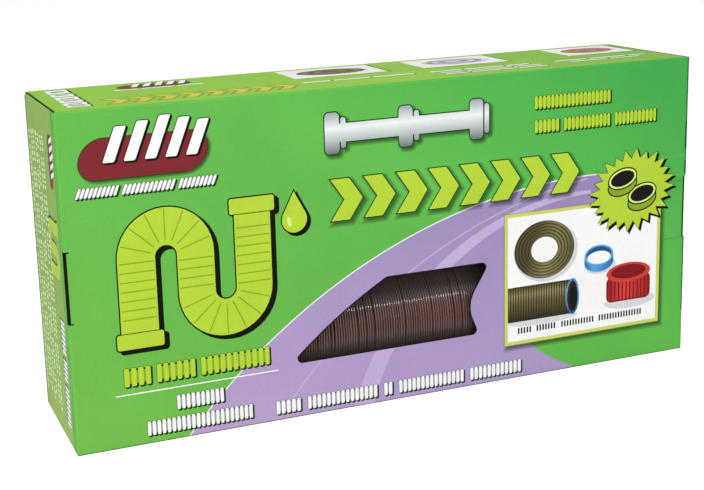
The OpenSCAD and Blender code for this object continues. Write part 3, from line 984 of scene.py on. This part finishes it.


def bridge_crease(name, half_len, board_end, z_from, z_to, paper):
    """Inner liner that bridges a crease. At rest it is hidden upright in the narrow gap between the
    lid and the board that ends at y = board_end. It runs from z_from to z_to, which lies below it."""
    x, near = half_len * MM, (board_end + LINER_PLAY) * MM
    far = near + LINER_THICK * MM
    points, faces = [], [(0, 1, 2, 3)]
    for i in range(LINER_STEPS + 1):
        z = (z_from + (z_to - z_from) * i / LINER_STEPS) * MM
        points += [(-x, near, z), (x, near, z), (x, far, z), (-x, far, z)]
    last = 4 * LINER_STEPS
    for i in range(0, last, 4):
        faces += [(i + k, i + 4 + k, i + 4 + m, i + m) for k, m in ((0, 1), (1, 2), (2, 3), (3, 0))]
    faces.append((last + 3, last + 2, last + 1, last))
    piece = new_object(name, points, faces, paper)
    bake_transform(piece)


def bridge_creases():
    """The two creases that open: bottom wall to lid, and lid to tuck flap."""
    paper = kraft_liner("crease_liner")
    bridge_crease(
        "liner_lid_crease", BOTTOM_HIGH.x / MM, BOTTOM_HIGH.y / MM,
        BOTTOM_HIGH.z / MM, LINER_HOLD, paper,
    )
    top = TUCK_HIGH.z / MM
    bridge_crease(
        "liner_tuck_crease", TUCK_HIGH.x / MM, TUCK_HIGH.y / MM,
        top - LINER_HOLD / 2, top - BOARD, paper,
    )


# ------ hose

RIB_PITCH = 1.85  # distance between neighbouring coils of the compressed hose, mm
RIB_PROFILE = ((0.0, -2.0), (0.1, -0.9), (0.25, -0.28), (0.5, 0.0), (0.75, -0.28), (0.9, -0.9))
PITCH_SPREAD = 0.05  # how unevenly the coils lie, share of their pitch
APART = 0.3  # how far a few of them stand apart, share of their pitch
APART_CHANCE = 0.04  # share of the coils that do
DARK_GAP = 199.0  # how far from the lower mouth one pair stands widest apart, mm
DARK_GAP_OPEN = 0.65  # how far, share of the pitch
GAP_DEPTH = -4.2  # how low the skin lies between coils that stand apart, mm
COIL_SINK = 0.07  # how far a coil lies below the others, mm
WIRE_PLAY = 0.15  # how far a coil may stand off its neighbours, mm
GROOVE_HOLD = 0.3  # share of that by which the groove beside it moves along
BORE_R = 38.6
BORE_RINGS = 260  # rings of the bore, every other one 0.5 mm wider
HOSE_SIDES = 72


def build_hose():
    """The whole hose as one tube: two straight runs and the bend, with every coil of its wire."""
    crest = (HOSE_HIGH.y - HOSE_LOW.y) / 2 / MM
    run_gap = (HOSE_HIGH.z - HOSE_LOW.z) / MM - 4 * crest
    bend_r = crest + run_gap / 2
    low_z = HOSE_LOW.z / MM + crest
    mouth_x = HOSE_LOW.x / MM
    bend_x = HOSE_HIGH.x / MM - bend_r - crest
    run = bend_x - mouth_x
    bend = pi * bend_r
    total = 2 * run + bend
    rng = np.random.default_rng(20)
    coils = int(total / RIB_PITCH)
    pitch = rng.normal(1.0, PITCH_SPREAD, coils)
    gaps = APART * (rng.random(coils) < APART_CHANCE)
    gaps[int(DARK_GAP / RIB_PITCH)] = DARK_GAP_OPEN
    pitch = np.clip(pitch, 0.8, 1.25) + gaps
    edges = np.concatenate([[0], np.cumsum(pitch)])
    edges *= total / edges[-1]
    shift = np.clip(rng.normal(0, WIRE_PLAY, (coils, 2)), -WIRE_PLAY, WIRE_PLAY)
    crests = crest - 2 * WIRE_PLAY - np.abs(rng.normal(0, COIL_SINK, coils))
    # Rings of the tube: distance along it, radius, and shift sideways and away from the bend's centre
    rings = []
    for i in range(coils):
        opening = gaps[i] / pitch[i]
        profile = [(opening + share * (1 - opening), rise) for share, rise in RIB_PROFILE]
        if opening:
            profile = [(0.0, GAP_DEPTH), (opening, GAP_DEPTH)] + profile[1:]
        for share, rise in profile:
            along = edges[i] + share * (edges[i + 1] - edges[i])
            hold = GROOVE_HOLD if rise < -1.5 else 1.0
            rings.append((along, crests[i] + rise, *(shift[i] * hold)))
    rings.append((total, crest - 3.0, 0.0, 0.0))
    for i, along in enumerate(np.linspace(total, 0, BORE_RINGS)):
        rings.append((along, BORE_R + 0.5 * (i % 2), 0.0, 0.0))
    along, radius, sideways, outwards = (column[:, None] for column in np.array(rings).T)
    a = np.clip((along - run) / bend, 0, 1) * pi - pi / 2
    past = np.clip(along - run - bend, 0, None)
    x = np.where(along < run, mouth_x + along, bend_x + bend_r * np.cos(a) - past)
    z = low_z + bend_r + bend_r * np.sin(a)
    turn = 2 * pi * np.arange(HOSE_SIDES) / HOSE_SIDES
    out = radius * np.cos(turn) + outwards
    side = radius * np.sin(turn) + sideways
    points = np.stack([x + out * np.cos(a), side, z + out * np.sin(a)], axis=-1).reshape(-1, 3) * MM
    i = np.arange(len(rings))[:, None]
    k = np.arange(HOSE_SIDES)
    here, ahead = i * HOSE_SIDES, (i + 1) % len(rings) * HOSE_SIDES
    m = (k + 1) % HOSE_SIDES
    quads = np.stack([here + k, ahead + k, ahead + m, here + m], axis=-1).reshape(-1, 4)
    piece = new_object("hose_skin", points.tolist(), quads.tolist(), vinyl("vinyl"))
    piece.data.polygons.foreach_set("use_smooth", [True] * len(quads))
    piece.data.update()
    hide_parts("hose")
    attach(piece, "carton")


# ------ CAD nodes that stay

# Cut edges of brown kraft, darker than the liner: partly the board's own colour, partly painted shade from
# its flutes.
BROWN_AND_SHADE_CUT = "5c4830"
# Painted shade: cut edges given near black because they lie in shadow.
PAINTED_SHADE_CUT = "1e1c14"  # cut edges that the photograph shows near black
GREEN_CUT = "96b642"  # those of the right end
TUCK_INK = "64b852"  # printed faces that carry no sheet
RIM_INK = "96b860"


def finish_nodes():
    """Gives every CAD node that shows its own board or plastic material."""
    boards = [
        ("front_panel", "y", PAINTED_SHADE_CUT), ("top_wall", "z", BROWN_AND_SHADE_CUT), ("bottom_wall", "z", BROWN_AND_SHADE_CUT),
        ("lid_panel", "y", BROWN_AND_SHADE_CUT), ("tuck_flap", "z", BROWN_AND_SHADE_CUT, TUCK_INK),
    ]
    for side, end_cut in (("left", PAINTED_SHADE_CUT), ("right", GREEN_CUT)):
        boards += [
            ("end_wall_" + side, "x", end_cut),
            ("inner_wall_" + side, "x", BROWN_AND_SHADE_CUT),
            ("lock_tab_" + side, "x", PAINTED_SHADE_CUT),
            ("corner_flap_upper_" + side, "x", BROWN_AND_SHADE_CUT),
            ("corner_flap_lower_" + side, "x", BROWN_AND_SHADE_CUT),
            ("end_rim_" + side, "y", PAINTED_SHADE_CUT, RIM_INK),
        ]
    for node, *look in boards:
        dress(node, board_edge(node, *look))
    plastic = ring_plastic("ring_plastic")
    for node in ("sizing_ring_lower", "sizing_ring_upper"):
        dress(node, plastic)
        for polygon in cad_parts[node].data.polygons:
            polygon.use_smooth = False


def dress(node, material):
    """Assigns one material to a CAD node."""
    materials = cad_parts[node].data.materials
    materials.clear()
    materials.append(material)


# ------ camera, floor and light

CAMERA_FROM = Vector((-0.36126, -0.81201, 0.33373))
CAMERA_RIGHT = Vector((0.93223, -0.36035, -0.03295))
CAMERA_UP = Vector((0.10616, 0.18531, 0.97693))
CAMERA_BACK = Vector((-0.34593, -0.91423, 0.21100))
FOCAL_PX = 1310.98
IMAGE_W, IMAGE_H = 704, 490
CENTRE_PX = (298.13, 182.12)
FLOOR_DROP = 0.0002  # how far the floor lies under the part, m
FLOOR_HALF = 12.0
FLOOR_GLOW = 0.62  # light of its own that only the camera sees
WORLD_LIGHT = 0.45


def add_camera():
    data = bpy.data.cameras.new("camera")
    data.sensor_width = 36.0
    data.lens = 36.0 * FOCAL_PX / IMAGE_W
    data.shift_x = (IMAGE_W / 2 - CENTRE_PX[0]) / IMAGE_W
    data.shift_y = (CENTRE_PX[1] - IMAGE_H / 2) / IMAGE_W
    data.clip_start, data.clip_end = 0.01, 50.0
    camera = in_scene("camera", data)
    turn = Matrix((CAMERA_RIGHT, CAMERA_UP, CAMERA_BACK)).transposed()
    camera.matrix_world = Matrix.Translation(CAMERA_FROM) @ turn.to_4x4()
    bpy.context.scene.camera = camera


def add_light(name, place, aim, size, power, diffuse=True):
    """A rectangular lamp: its place, width and height in metres, its power in watts."""
    data = bpy.data.lights.new(name, "AREA")
    data.shape = "RECTANGLE"
    data.size, data.size_y = size
    data.energy = power
    light = in_scene(name, data)
    light.location = place
    light.rotation_euler = (Vector(aim) - Vector(place)).to_track_quat("-Z", "Y").to_euler()
    light.visible_diffuse = diffuse


def add_world():
    world = bpy.data.worlds.new("world")
    world.use_nodes = True
    background = world.node_tree.nodes["Background"]
    background.inputs["Color"].default_value = (1, 1, 1, 1)
    background.inputs["Strength"].default_value = WORLD_LIGHT
    bpy.context.scene.world = world


def add_floor():
    """A pale floor that reads as white and still takes a soft shadow under the carton."""
    square = bar(-FLOOR_HALF, -FLOOR_HALF, FLOOR_HALF, FLOOR_HALF)
    floor = new_object("floor", [(x, y, -FLOOR_DROP) for x, y in square], [(0, 1, 2, 3)])
    s = Shader("floor", Roughness=0.8, Specular_IOR_Level=0.0)
    s.bsdf.inputs["Base Color"].default_value = (0.8, 0.8, 0.8, 1)
    path = s.node("LightPath")
    strength = s.math("MULTIPLY", path.outputs["Is Camera Ray"], FLOOR_GLOW)
    glow = s.node("Emission", {"Color": (1, 1, 1, 1), "Strength": strength})
    both = s.node("AddShader", {0: s.bsdf.outputs[0], 1: glow.outputs[0]})
    s.feed(both.outputs[0], s.tree.nodes["Material Output"].inputs["Surface"])
    floor.data.materials.append(s.material)


def main():
    bpy.context.scene.view_settings.view_transform = "Standard"
    add_camera()
    add_world()
    add_floor()
    add_light("key", (-0.25, -1.0, 1.75), (0, 0, 0.1), (0.5, 0.4), 16.5)
    add_light("front_fill", (-0.5, -2.4, 0.7), (0, 0, 0.1), (1.8, 1.2), 12.0)
    add_light("side_fill", (-1.9, -0.2, 0.6), (-0.2, 0, 0.1), (0.9, 0.9), 9.5)
    add_light("glint", (0.45, -1.75, 0.985), (0, 0, 0.07), (1.7, 0.036), 8.0, diffuse=False)
    print_carton()
    bridge_creases()
    build_hose()
    finish_nodes()


main()
